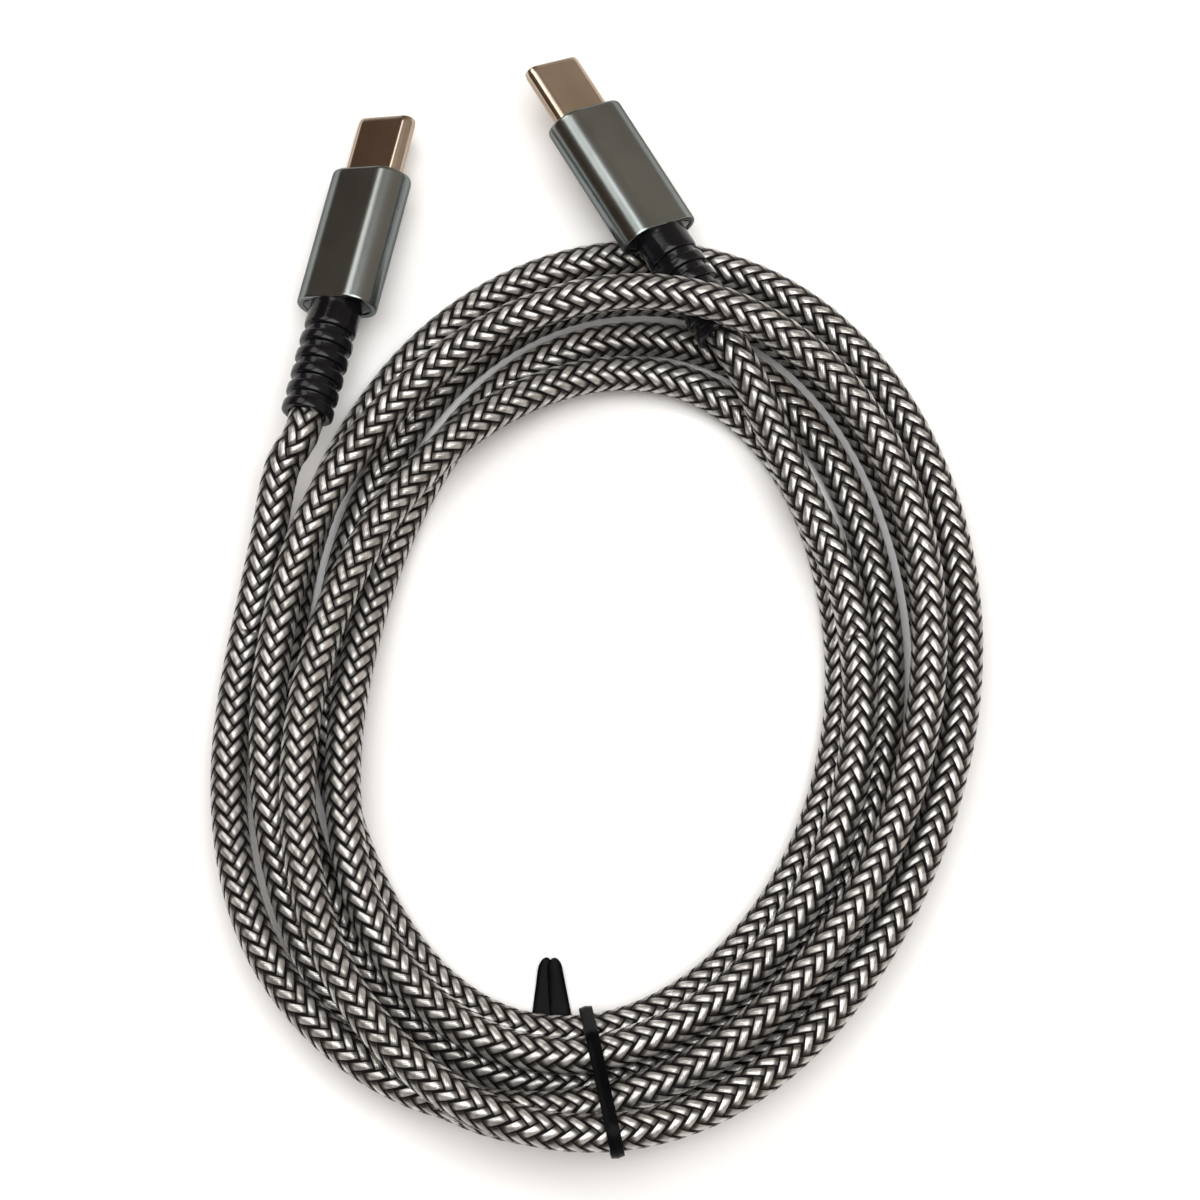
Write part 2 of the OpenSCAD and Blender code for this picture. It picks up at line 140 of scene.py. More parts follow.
# Where each plug lies: the cord's straight runs at the boot and at the coil, the offset of the housing's
# rear from its end of the coil, and its heading, tilt and roll in degrees.
BOOT_LEAD = 2.0
COIL_LEAD = 1.0
PLUG_OFF = {"a": (7.25, 26.7, -0.02 * PITCH), "b": (-17.95, 34.1, 0.36 * PITCH)}
PLUG_TURN = {"a": (-12.4, 6.0, -29.0), "b": (30.6, 2.0, 30.0)}

# The plugs' eased edges: how far from its corner each curve starts.
SMALL_EASE = 0.1
REAR_EASE = 0.35
FRONT_EASE = 0.5
HOLE_EASE = 0.15
LEAD_IN_EASE = 0.3
LIP_EASE = 0.06
BORE_EASE = 0.3
FLANGE_EASE = 0.2
NECK_EASE = 0.05
BASE_EASE = 0.7
GROOVE_EASE = 0.12
RING_EASE = 0.5

# What shows at the shell's mouth: the lead-in outside and the lip inside.
LEAD_IN_L = 0.55
LEAD_IN_W = 0.24  # by which the outside narrows
LIP_L = 0.3
LIP_W = 0.04  # by which the inside narrows

# What shows of the boot: a flat neck at the housing, a rounder base, and the rings.
NECK_SEAT = 0.06  # by which the neck reaches into the housing
NECK_L = 0.5
NECK_H = 5.9
BASE_W = 6.7  # of the neck too
BASE_H = 6.5
SQUARING = 0.9  # how fast an outline gets squarer than an ellipse as it gets flatter
RING_D = 6.7
RING_TAPER = 0.05  # from each ring's diameter to the next
RING_SLOPE = 0.15  # length over which a ring rises from its groove
GROOVE_SLOPE = 0.1  # length over which the boot falls into a groove

# The braid.
CARRIERS = 8  # each way round
BRAID_LEAD = 16.2  # length of cord for one full turn of a carrier
CELL_POINTS = 4  # points of the grid for each cell
BRAID_DEPTH = 0.24  # of the valleys between the floats
FLOAT_SINK = 0.6  # share of a float's height that is lost at its ends
FILAMENTS = 7  # lines along a float

# The lengths of cord from the stop in each boot that make each lead's piece.
LEAD_LENGTH = {"a": 42.0, "b": 56.0}

# How many points the lines and grids have.
LEAD_POINTS = 6  # along a lead's curve
STRAIGHT_POINTS = 4  # along its straight run
SPLINE_POINTS = 6  # along the spline for each step of the route
CORNER_POINTS = 5  # over an eased edge
END_POINTS = 29  # round each end of a housing or a shell
SIDE_POINTS = 7  # along each of its flat sides
BOOT_POINTS = 64  # round a boot
TAUT_POINTS = 721  # round the line that the strap follows
STRAP_POINTS = 220  # along the strap
STRAP_SIDES = 28  # round its outline
TAIL_POINTS = 22  # along a loose end
TIP_POINTS = 12  # along the rounding of its tip
TAIL_SIDES = 24  # round its outline


def unit(v):
    """A vector, or each row of vectors, divided by its length."""
    return v / np.linalg.norm(v, axis=-1, keepdims=True)


# The route.

def chosen_weave():
    """Lane and level of every ring: the stations, and halfway between two of them a point on the smooth
    curve through four, which is nine times the inner two less the outer two, over sixteen."""
    stations = np.stack([np.concatenate(LANES), np.concatenate(LEVELS)], axis=1)
    padded = np.pad(stations, ((1, 1), (0, 0)), mode="edge")
    halfway = (9 * (padded[1:-2] + padded[2:-1]) - padded[:-3] - padded[3:]) / 16
    weave = np.empty((2 * len(stations) - 1, 2))
    weave[0::2] = stations
    weave[1::2] = halfway
    return weave


def lowest_levels(count):
    """The level that the strap lifts each ring to: highest at the tie's ring, fading on both sides."""
    away = np.abs(np.arange(count) % TURN_RINGS - TIE_RING)
    return TIE_LIFT * np.maximum(0, 1 - away / TIE_REACH)


def settled_weave(goal, lowest):
    """The weave after the settling rounds: rings of different turns push apart below the reach, each ring
    eases towards the middle of its neighbours and keeps near its chosen place, and two rings at each end
    are held."""
    rows = -(-len(goal) // TURN_RINGS)
    spare = rows * TURN_RINGS - len(goal)
    far_away = 1000
    least = 0.001
    places = goal
    for _ in range(SETTLE_ROUNDS):
        padded = np.pad(places, ((0, spare), (0, 0)), constant_values=far_away)
        turns = padded.reshape(rows, TURN_RINGS, 2)
        apart = turns[:, None] - turns[None]
        gap = np.linalg.norm(apart, axis=3, keepdims=True)
        near = (gap > 0) & (gap < SETTLE_REACH)
        push = np.where(near, apart / np.maximum(gap, least) * (SETTLE_REACH - gap) / 2, 0).sum(axis=1)
        ease = np.zeros_like(goal)
        ease[1:-1] = (places[:-2] + places[2:]) / 2 - places[1:-1]
        moved = places + PUSH_SHARE * push.reshape(-1, 2)[:len(goal)] + EASE_SHARE * ease
        moved += KEEP_SHARE * (goal - places)
        moved[:, 1] = np.maximum(moved[:, 1], lowest)
        moved[:2] = goal[:2]
        moved[-2:] = goal[-2:]
        places = moved
    return places


def leaned(flat):
    """Points of the surface turned clockwise by the oval's lean."""
    c, s = np.cos(COIL_LEAN), np.sin(COIL_LEAN)
    return np.stack([flat[..., 0] * c + flat[..., 1] * s, flat[..., 1] * c - flat[..., 0] * s], axis=-1)


def oval(ring):
    """The oval's point and its outward direction at a ring, before the lean."""
    u = np.radians(FIRST_ANGLE - 360 / TURN_RINGS * ring)
    point = np.stack([COIL_A * np.sin(u), COIL_B * np.cos(u)], axis=-1)
    out = unit(np.stack([COIL_B * np.sin(u), COIL_A * np.cos(u)], axis=-1))
    return point, out


def ring_middles(places):
    """The middles of the cord's rings: out from the oval by the lane, up from the surface by the level."""
    point, out = oval(np.arange(len(places)))
    flat = leaned(point + out * places[:, :1] * PITCH)
    return np.column_stack([flat, REST_Z + places[:, 1] * PITCH])


class Plug:
    """Where a plug lies: the middle of its housing's rear face, and the turn of its own axes, whose +Z
    points to the tip."""

    def __init__(self, coil_end, offset, turn):
        heading, tilt, roll = np.radians(turn)
        steps = (Matrix.Rotation(heading, 3, "Z"), Matrix.Rotation(-np.pi / 2 - tilt, 3, "X"),
                 Matrix.Rotation(roll, 3, "Z"))
        self.rear = coil_end + np.array(offset)
        self.axes = np.array(steps[0] @ steps[1] @ steps[2])
        self.aim = self.axes[:, 2]

    def place(self, points):
        """Points in the plug's own axes, put where the plug lies."""
        return points @ self.axes.T + self.rear


def lead_middles(first, second, plug):
    """From the coil's end a cubic curve to the boot's mouth, with handles a third of the distance long, then
    a straight run to the stop in the boot."""
    leave = unit(first - second)
    start = first + leave * (CORD_D + FIT + COIL_LEAD)
    mouth = plug.rear - plug.aim * (BOOT_L + BOOT_LEAD)
    stop = plug.rear - plug.aim * (STOP_L + FIT)
    third = np.linalg.norm(mouth - start) / 3
    t = np.linspace(0, 1, LEAD_POINTS)[:, None]
    bend = (start * (1 - t) ** 3 + 3 * (start + leave * third) * (1 - t) ** 2 * t
            + 3 * (mouth - plug.aim * third) * (1 - t) * t ** 2 + mouth * t ** 3)
    straight = mouth + (stop - mouth) * np.linspace(1 / STRAIGHT_POINTS, 1, STRAIGHT_POINTS)[:, None]
    return np.vstack([bend, straight])


def run_lengths(line):
    """The length along a line from its first point to each of its points."""
    return np.concatenate([[0], np.cumsum(np.linalg.norm(np.diff(line, axis=0), axis=1))])


def smooth_line(points, step):
    """Points one step apart on the cubic spline through the given points. Its knots lie at the chords'
    lengths, and its second derivatives solve the three-term system of a spline that is free at both ends."""
    chord = np.linalg.norm(np.diff(points, axis=0), axis=1)
    knot = np.concatenate([[0], np.cumsum(chord)])
    count = len(points)
    inner = np.arange(1, count - 1)
    system = np.eye(count)
    system[inner, inner - 1] = chord[:-1]
    system[inner, inner] = 2 * (chord[:-1] + chord[1:])
    system[inner, inner + 1] = chord[1:]
    slope = np.diff(points, axis=0) / chord[:, None]
    change = np.zeros_like(points)
    change[1:-1] = 6 * np.diff(slope, axis=0)
    second = np.linalg.solve(system, change)
    at = np.linspace(0, knot[-1], int(knot[-1] / step * SPLINE_POINTS))
    part = np.clip(np.searchsorted(knot, at, side="right") - 1, 0, count - 2)
    width = chord[part][:, None]
    f = (at - knot[part])[:, None] / width
    g = 1 - f
    curve = g * points[part] + f * points[part + 1]
    curve += ((g ** 3 - g) * second[part] + (f ** 3 - f) * second[part + 1]) * width ** 2 / 6
    run = run_lengths(curve)
    along = np.arange(0, run[-1], step)
    return np.stack([np.interp(along, run, curve[:, axis]) for axis in range(3)], axis=1)


# Meshes.

def cell_corners(grid):
    """The four corners of each cell of a grid, in order round the cell."""
    return np.stack([grid[:-1, :-1], grid[:-1, 1:], grid[1:, 1:], grid[1:, :-1]], axis=2)


def make_piece(name, patches, finish):
    """One object from closed grid patches. A patch is a grid of points in millimetres, with its columns
    closed into rings, and its rows closed too or else ended by a flat face; it may carry a grid of UV
    values with one more column than the points. A patch whose signed volume is negative is turned
    outwards."""
    points, corners, sizes, uvs = [], [], [], []
    first = 0
    for grid, rows_closed, uv in patches:
        rows, columns = grid.shape[:2]
        index = np.arange(rows * columns).reshape(rows, columns)
        ring = np.pad(index, ((0, int(rows_closed)), (0, 1)), mode="wrap")
        if uv is None:
            uv = np.zeros(ring.shape + (2,))
        quads = cell_corners(ring).reshape(-1, 4)
        quad_uv = cell_corners(uv).reshape(-1, 4, 2)
        flat = grid.reshape(-1, 3)
        a, b, c, d = (flat[quads[:, k]] for k in range(4))
        volume = (a * np.cross(b, c)).sum() + (a * np.cross(c, d)).sum()
        way = -1 if volume < 0 else 1
        loops = [quads[:, ::way].ravel()]
        loop_uv = [quad_uv[:, ::way].reshape(-1, 2)]
        totals = [np.full(len(quads), 4)]
        if not rows_closed:
            loops += [index[0, ::-way], index[-1, ::way]]
            loop_uv += [uv[0, :-1][::-way], uv[-1, :-1][::way]]
            totals += [[columns], [columns]]
        points.append(flat)
        corners.append(np.concatenate(loops) + first)
        uvs.append(np.concatenate(loop_uv))
        sizes.append(np.concatenate(totals))
        first += len(flat)
    points, corners, sizes, uvs = (np.concatenate(part) for part in (points, corners, sizes, uvs))
    mesh = bpy.data.meshes.new(name)
    mesh.vertices.add(len(points))
    mesh.vertices.foreach_set("co", (points * MM).astype(np.float32).ravel())
    mesh.loops.add(len(corners))
    mesh.loops.foreach_set("vertex_index", corners.astype(np.int32))
    mesh.polygons.add(len(sizes))
    mesh.polygons.foreach_set("loop_start", (np.cumsum(sizes) - sizes).astype(np.int32))
    mesh.update(calc_edges=True)
    mesh.validate()
    layer = mesh.uv_layers.new(name="UVMap")
    layer.data.foreach_set("uv", uvs.astype(np.float32).ravel())
    mesh.polygons.foreach_set("use_smooth", np.ones(len(sizes), dtype=bool))
    mesh.materials.append(finish)
    piece = bpy.data.objects.new(name, mesh)
    bpy.context.scene.collection.objects.link(piece)
    return piece


def weigh_normals(piece):
    """Keeps the flat faces of a rounded piece flat in the light."""
    modifier = piece.modifiers.new("weighted", "WEIGHTED_NORMAL")
    modifier.weight = 60
    modifier.keep_sharp = True


def rounded_section(corners):
    """A closed line of (width, height, z) through corners given as (width, height, z, ease): near each
    corner it follows the parabola that touches both sides at the ease's distance from it."""
    spots = np.array([corner[:3] for corner in corners], dtype=float)
    ease = np.array([corner[3] for corner in corners], dtype=float)[:, None, None]
    back = unit(np.roll(spots, 1, axis=0) - spots)[:, None]
    ahead = unit(np.roll(spots, -1, axis=0) - spots)[:, None]
    t = np.linspace(0, 1, CORNER_POINTS)[None, :, None]
    return (spots[:, None] + ease * (back * (1 - t) ** 2 + ahead * t ** 2)).reshape(-1, 3)


def stadium_loft(section):
    """The section's rows as rings: a straight-sided outline with round ends, its middle line the width less
    the height long, and the round ends half the height in radius."""
    width, height, z = (section[:, k][:, None] for k in range(3))
    turn = np.linspace(-np.pi / 2, np.pi / 2, END_POINTS)
    flat = np.linspace(1, -1, SIDE_POINTS + 2)[1:-1]
    end = np.ones(END_POINTS)
    level = np.zeros(SIDE_POINTS)
    upright = np.ones(SIDE_POINTS)
    side = np.concatenate([end, flat, -end, -flat])[None]
    out_x = np.concatenate([np.cos(turn), level, -np.cos(turn), level])[None]
    out_y = np.concatenate([np.sin(turn), upright, -np.sin(turn), -upright])[None]
    x = side * (width - height) / 2 + out_x * height / 2
    y = out_y * height / 2
    return np.stack(np.broadcast_arrays(x, y, z), axis=-1)


def round_loft(section):
    """The section's rows as rings: circles, or where the width and height differ, ellipses that are squarer
    the flatter they are, by raising the cosine and sine to a power below one."""
    width, height, z = (section[:, k][:, None] for k in range(3))
    turn = np.linspace(0, 2 * np.pi, BOOT_POINTS, endpoint=False)[None]
    power = 2 / (2 + SQUARING * (width / height - 1))
    c, s = np.cos(turn), np.sin(turn)
    x = width / 2 * np.sign(c) * np.abs(c) ** power
    y = height / 2 * np.sign(s) * np.abs(s) ** power
    return np.stack(np.broadcast_arrays(x, y, z), axis=-1)


# Shader sums.

class Term:
    """A value that varies over a surface. A sum written with it adds a Math node to its material."""

    def __init__(self, maker, socket):
        self.maker = maker
        self.socket = socket

    def math(self, operation, *others):
        """The result of a Math node on this value and the others."""
        return self.maker.node("Math", {"operation": operation}, dict(enumerate((self, *others))))

    def __add__(self, other):
        return self.math("ADD", other)

    def __sub__(self, other):
        return self.math("SUBTRACT", other)

    def __rsub__(self, other):
        return (self * -1) + other

    def __mul__(self, other):
        return self.math("MULTIPLY", other)

    def __pow__(self, other):
        return self.math("POWER", other)

    def __gt__(self, other):
        return self.math("GREATER_THAN", other)

    def __lt__(self, other):
        return self.math("LESS_THAN", other)

    def __abs__(self):
        return self.math("ABSOLUTE")

    __radd__ = __add__
    __rmul__ = __mul__

    def ramp(self, low, high):
        """0 up to low, 1 from high on, and a smooth step between."""
        return self.maker.node("MapRange", {"interpolation_type": "SMOOTHSTEP"},
                               {0: self, 1: low, 2: high, 3: 0.0, 4: 1.0})


class Nodes:
    """A node tree in the making: one method adds any node."""

    def __init__(self, tree):
        self.tree = tree

    def node(self, kind, settings=None, inputs=None, output=0):
        """A node of that type, with its settings set first, then its sockets' values or links."""
        node = self.tree.nodes.new("ShaderNode" + kind)
        for key, value in (settings or {}).items():
            setattr(node, key, value)
        self.fill(node, inputs or {})
        return Term(self, node.outputs[output])

    def fill(self, node, inputs):
        """Links each varying value to its socket, and sets the others."""
        for key, value in inputs.items():
            if isinstance(value, Term):
                self.tree.links.new(value.socket, node.inputs[key])
            else:
                node.inputs[key].default_value = value

    def between(self, share, first, second):
        """The colour between two colours, by a share from 0 to 1."""
        return self.node("Mix", {"data_type": "RGBA"}, {0: share, 6: first, 7: second}, output=2)

    def parts(self, vector):
        """The three numbers of a vector."""
        first = self.node("SeparateXYZ", None, {0: vector})
        outputs = first.socket.node.outputs
        return first, Term(self, outputs[1]), Term(self, outputs[2])

    def object_point(self):
        """The point of the surface in the piece's own space."""
        return self.node("TexCoord", output="Object")

    def noise(self, scale, detail=3.0):
        """Soft noise from 0 to 1 over the piece's own space, so many times a metre."""
        return self.node("TexNoise", None, {"Vector": self.object_point(), "Scale": scale, "Detail": detail})

    def bump(self, height, depth, strength=1.0):
        """The surface's direction where a height from 0 to 1 stands for a depth in metres."""
        return self.node("Bump", None, {"Height": height, "Distance": depth, "Strength": strength})


class Finish(Nodes):
    """A material in the making: the finished values go to its main shader."""

    def __init__(self, name):
        self.material = bpy.data.materials.new(name)
        self.material.use_nodes = True
        super().__init__(self.material.node_tree)
        self.shader = self.tree.nodes["Principled BSDF"]

    def done(self, **values):
        """Sets the main shader's sockets by name, with _ for a space, and gives the material."""
        self.fill(self.shader, {key.replace("_", " "): value for key, value in values.items()})
        return self.material


def rgb(red, green, blue):
    """An opaque colour from its linear parts."""
    return (red, green, blue, 1.0)


def braid_finish():
    """Two sets of carriers cross two over, two under. With a and b counted in carriers along the two lays,
    the cell floor(a) + floor(b) modulo 4 says which set is on top; across and along are measured on that
    top float. The floats are silver yarn, each of its own tone, with a painted highlight along the middle
    of each float and painted shade towards its edges and ends, fine lines of painted shade along them, and
    black threads along both edges."""
    make = Finish("cord_braid")
    # The first two colours are painted shade and the next two are painted highlight of the one silver yarn.
    # Each pair spans the floats' random tones.
    dark_painted_shade = rgb(0.12, 0.113, 0.106)
    light_painted_shade = rgb(0.23, 0.22, 0.209)
    dark_painted_highlight = rgb(0.38, 0.367, 0.35)
    light_painted_highlight = rgb(0.70, 0.69, 0.67)
    # Painted shade for fine lines along the floats.
    painted_filament_shade = rgb(0.17, 0.16, 0.15)
    # Painted shade where a float sinks under its neighbours.
    painted_end_shade = rgb(0.03, 0.026, 0.023)
    black = rgb(0.004, 0.0035, 0.0035)
    uv = make.node("UVMap", {"uv_map": "UVMap"})
    round_cells, along_cells, _ = make.parts(uv)
    a = round_cells + along_cells
    b = round_cells - along_cells
    row_a = a.math("FLOOR")
    row_b = b.math("FLOOR")
    step = (row_a + row_b).math("FLOORED_MODULO", 4.0)
    top = step < 1.5
    in_a = a - row_a
    in_b = b - row_b
    across = in_b + top * (in_a - in_b) - 0.5
    along = (step - 2 * (1 - top) + in_a + top * (in_b - in_a)) * 0.5
    edge = abs(across)
    end = abs(along - 0.5) * 2
    thread = edge.ramp(low=0.30, high=0.39)
    dip = end.ramp(low=0.42, high=0.96)
    filament = (across * (2 * np.pi * FILAMENTS)).math("SINE") * 0.5 + 0.5
    carrier = row_b + top * (row_a - row_b)
    place = make.node("CombineXYZ", None, {0: carrier, 1: row_a + row_b, 2: top})
    tone = make.node("TexWhiteNoise", {"noise_dimensions": "3D"}, {"Vector": place})
    crown = (1 - (edge * 2) ** 2.0) * (1 - dip * 0.7)
    painted_shade_tone = make.between(tone, dark_painted_shade, light_painted_shade)
    painted_highlight_tone = make.between(tone, dark_painted_highlight, light_painted_highlight)
    # Painted highlight along each float's middle and painted shade towards its edges and ends, over the
    # yarn's random tone.
    silver = make.between(crown.ramp(low=0.3, high=0.92), painted_shade_tone, painted_highlight_tone)
    # Fine lines of painted shade along each float.
    with_painted_filament_shade = make.between(filament * 0.3, silver, painted_filament_shade)
    # Painted shade towards each float's ends.
    with_painted_end_shade = make.between(dip * 0.85, with_painted_filament_shade, painted_end_shade)
    colour = make.between(thread, with_painted_end_shade, black)
    height = crown + filament * 0.06 - thread * 0.3
    return make.done(
        Base_Color=colour,
        Metallic=0.7 * (1 - thread),
        Roughness=0.3 + thread * 0.3 + filament * 0.06,
        Normal=make.bump(height, depth=0.00014),
        Specular_IOR_Level=0.07)


def metal_finish(name, dark, light, rough, grain, depth, edge=rgb(0.9, 0.9, 0.9)):
    """Plated or anodised metal: tone and roughness drift a little, with a very fine grain in the surface.
    The edge colour is what it reflects at a glancing angle."""
    make = Finish(name)
    drift = make.noise(scale=140.0)
    fine = make.noise(scale=grain, detail=2.0)
    return make.done(
        Base_Color=make.between(drift.ramp(low=0.3, high=0.7), dark, light),
        Metallic=1.0,
        Roughness=rough + drift * 0.05 + fine * 0.06,
        Normal=make.bump(fine, depth, strength=0.12),
        Specular_Tint=edge)


def moulded_finish(name, dark, light, rough, shine=0.5):
    """Moulded plastic, rubber or ceramic: a fine pebble in the surface and a slow drift in tone."""
    make = Finish(name)
    drift = make.noise(scale=220.0)
    fine = make.noise(scale=2600.0)
    return make.done(
        Base_Color=make.between(drift.ramp(low=0.3, high=0.7), dark, light),
        Roughness=rough + fine * 0.12,
        Normal=make.bump(fine, depth=0.00003, strength=0.4),
        Specular_IOR_Level=shine)


def wire_finish(name, plug):
    """Five insulated wires side by side: the distance across the plug picks each wire's colour."""
    make = Finish(name)
    offset = make.node("VectorMath", {"operation": "SUBTRACT"},
                       {0: make.object_point(), 1: tuple(plug.rear * MM)})
    across = make.node("VectorMath", {"operation": "DOT_PRODUCT"},
                       {0: offset, 1: tuple(plug.axes[:, 0])}, output="Value")
    red = rgb(0.52, 0.02, 0.02)
    black = rgb(0.02, 0.02, 0.02)
    green = rgb(0.02, 0.2, 0.04)
    white = rgb(0.7, 0.7, 0.66)
    blue = rgb(0.02, 0.05, 0.3)
    colour = red
    for pitches, shade in zip((-1.5, -0.5, 0.5, 1.5), (black, green, white, blue)):
        colour = make.between(across > pitches * WIRE_PITCH * MM, colour, shade)
    fine = make.noise(scale=1800.0)
    return make.done(
        Base_Color=colour,
        Roughness=0.32 + fine * 0.15,
        Normal=make.bump(fine, depth=0.00002, strength=0.3))


# The camera, at the photograph's angle and field.
camera_data = bpy.data.cameras.new("camera")
camera_data.sensor_width = 36.0
camera_data.lens = 83.64
camera_data.clip_start = 0.01
camera = bpy.data.objects.new("camera", camera_data)
camera.location = (0.0, -0.0670, 0.3356)
camera.rotation_euler = (np.radians(13.5), 0.0, 0.0)
bpy.context.scene.collection.objects.link(camera)
bpy.context.scene.camera = camera


# The cord, in three pieces of one braid: the coil, and a lead into each boot.
goal = chosen_weave()
lowest = lowest_levels(len(goal))
goal[:, 1] = np.maximum(goal[:, 1], lowest)
weave = settled_weave(goal, lowest)
rings = ring_middles(weave)
plugs = {"a": Plug(rings[0], PLUG_OFF["a"], PLUG_TURN["a"]),
         "b": Plug(rings[-1], PLUG_OFF["b"], PLUG_TURN["b"])}
lead_a = lead_middles(rings[0], rings[1], plugs["a"])
lead_b = lead_middles(rings[-1], rings[-2], plugs["b"])
braid_step = BRAID_LEAD / CARRIERS / CELL_POINTS
route = smooth_line(np.vstack([lead_a[::-1], rings, lead_b]), braid_step)


def braid_relief(round_cells, along_cells):
    """Height of the braid from 0 to 1: over each top float a parabola across it, which sinks towards the
    float's ends with the fourth power of the way there."""
    a = round_cells + along_cells
    b = round_cells - along_cells
    step = (np.floor(a) + np.floor(b)) % 4
    top = step < 2
    in_a = a % 1
    in_b = b % 1
    across = np.where(top, in_a, in_b) - 0.5
    along = (step % 2 + np.where(top, in_b, in_a)) / 2 - 0.5
    return (1 - (2 * across) ** 2) * (1 - FLOAT_SINK * (2 * along) ** 4)


def braided_tube(first, last):
    """The route's rings between two of its points: circles square to the route, their radius lowered by the
    braid's relief, none of their points below the surface. The UV values count the braid's cells round and
    along."""
    along = np.gradient(route, axis=0)
    side = unit(np.cross(along, (0, 0, 1)))
    up = np.cross(side, unit(along))
    steps = CARRIERS * CELL_POINTS
    phase = 0.5 / CELL_POINTS
    column = np.arange(steps + 1) / CELL_POINTS
    row = np.arange(first, last) / CELL_POINTS
    round_cells, along_cells = np.meshgrid(column, row)
    relief = braid_relief(round_cells + phase, along_cells)[:, :-1, None]
    radius = CORD_D / 2 - BRAID_DEPTH * (1 - relief)
    turn = (2 * np.pi * column[:-1] / CARRIERS)[None, :, None]
    spokes = np.cos(turn) * side[first:last, None] + np.sin(turn) * up[first:last, None]
    grid = route[first:last, None] + radius * spokes
    grid[..., 2] = np.maximum(grid[..., 2], 0)
    return grid, np.stack([round_cells + phase, along_cells], axis=-1)


braid = braid_finish()
cut_a = int(LEAD_LENGTH["a"] / braid_step)
cut_b = len(route) - int(LEAD_LENGTH["b"] / braid_step)
spans = {"cord_braid_coil": (cut_a, cut_b + 1), "cord_braid_lead_a": (0, cut_a + 1),
         "cord_braid_lead_b": (cut_b, len(route))}
cords = {}
for name, (first, last) in spans.items():
    grid, uv = braided_tube(first, last)
    cords[name] = make_piece(name, [(grid, False, uv)], braid)

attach(cords["cord_braid_coil"], "coil")
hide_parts("cord_coil")

lead_paths = {"a": route[:cut_a + 1] * MM, "b": route[cut_b:][::-1] * MM}
for end, path in lead_paths.items():
    piece = cords["cord_braid_lead_" + end]
    "plug_" + end
    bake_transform(piece)
    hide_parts("cord_lead_" + end)


# The plugs' housings, shells and boots.
housing_metal = metal_finish(
    "housing_metal", dark=rgb(0.222, 0.245, 0.243), light=rgb(0.26, 0.286, 0.282),
    rough=0.18, grain=9000.0, depth=0.000006, edge=rgb(0.3, 0.3, 0.3))
shell_metal = metal_finish(
    "shell_metal", dark=rgb(0.50, 0.42, 0.335), light=rgb(0.57, 0.485, 0.40),
    rough=0.14, grain=5000.0, depth=0.000003, edge=rgb(0.35, 0.28, 0.22))
boot_rubber = moulded_finish(
    "boot_rubber", dark=rgb(0.003, 0.003, 0.004), light=rgb(0.007, 0.007, 0.009), rough=0.1, shine=0.25)
tie_plastic = moulded_finish(
    "tie_plastic", dark=rgb(0.002, 0.002, 0.0024), light=rgb(0.004, 0.004, 0.0046), rough=0.2, shine=0.03)


def housing_section():
    """Round the housing's wall: up the outside, over the front to the shell's hole, and back through the
    hollow."""
    w, h, l = HOUSING
    hole_w, hole_h = SHELL[0] + 2 * FIT, SHELL[1] + 2 * FIT
    hollow_w, hollow_h = w - 2 * HOUSING_WALL, h - 2 * HOUSING_WALL
    step = l - FRONT_WALL
    return rounded_section([
        (w, h, 0, REAR_EASE), (w, h, l, FRONT_EASE),
        (hole_w, hole_h, l, HOLE_EASE), (hole_w, hole_h, step, SMALL_EASE),
        (hollow_w, hollow_h, step, SMALL_EASE), (hollow_w, hollow_h, 0, HOLE_EASE)])


def shell_section():
    """Round the shell's sheet: up the outside, in at the mouth's lead-in, over the lip and back inside."""
    w, h, out = SHELL
    rear = HOUSING[2] - FRONT_WALL - SHELL_IN
    front = HOUSING[2] + out
    in_w, in_h = w - 2 * SHELL_WALL, h - 2 * SHELL_WALL
    return rounded_section([
        (w, h, rear, SMALL_EASE), (w, h, front - LEAD_IN_L, LEAD_IN_EASE),
        (w - LEAD_IN_W, h - LEAD_IN_W, front, SMALL_EASE), (in_w - LIP_W, in_h - LIP_W, front, LIP_EASE),
        (in_w, in_h, front - LIP_L, SMALL_EASE), (in_w, in_h, rear, SMALL_EASE)])


def boot_section():
    """Round the boot: along the cord's bore, past the stop to the flange in the housing, and back over the
    neck, the base and the rings, which taper a little towards the mouth and have rounded edges."""
    ring_pitch = (BOOT_L - BOOT_BASE) / BOOT_RINGS
    bore = CORD_D + 2 * FIT
    core = CORE_D + 2 * FIT
    flange_w = HOUSING[0] - 2 * HOUSING_WALL - 2 * FIT
    flange_h = HOUSING[1] - 2 * HOUSING_WALL - 2 * FIT
    corners = [
        (bore, bore, -BOOT_L, BORE_EASE), (bore, bore, -STOP_L, SMALL_EASE),
        (core, core, -STOP_L, SMALL_EASE), (core, core, FLANGE_L, SMALL_EASE),
        (flange_w, flange_h, FLANGE_L, FLANGE_EASE), (flange_w, flange_h, NECK_SEAT, SMALL_EASE),
        (BASE_W, NECK_H, NECK_SEAT, NECK_EASE), (BASE_W, NECK_H, -NECK_L, SMALL_EASE),
        (BASE_W, BASE_H, -BOOT_BASE, BASE_EASE)]
    for ring in range(BOOT_RINGS):
        rear = -BOOT_BASE - ring * ring_pitch
        wide = RING_D - RING_TAPER * ring
        corners += [
            (GROOVE_D, GROOVE_D, rear - GROOVE_SLOPE, GROOVE_EASE),
            (GROOVE_D, GROOVE_D, rear - GROOVE_W, GROOVE_EASE),
            (wide, wide, rear - GROOVE_W - RING_SLOPE, RING_EASE),
            (wide, wide, rear - ring_pitch, RING_EASE)]
    return rounded_section(corners)


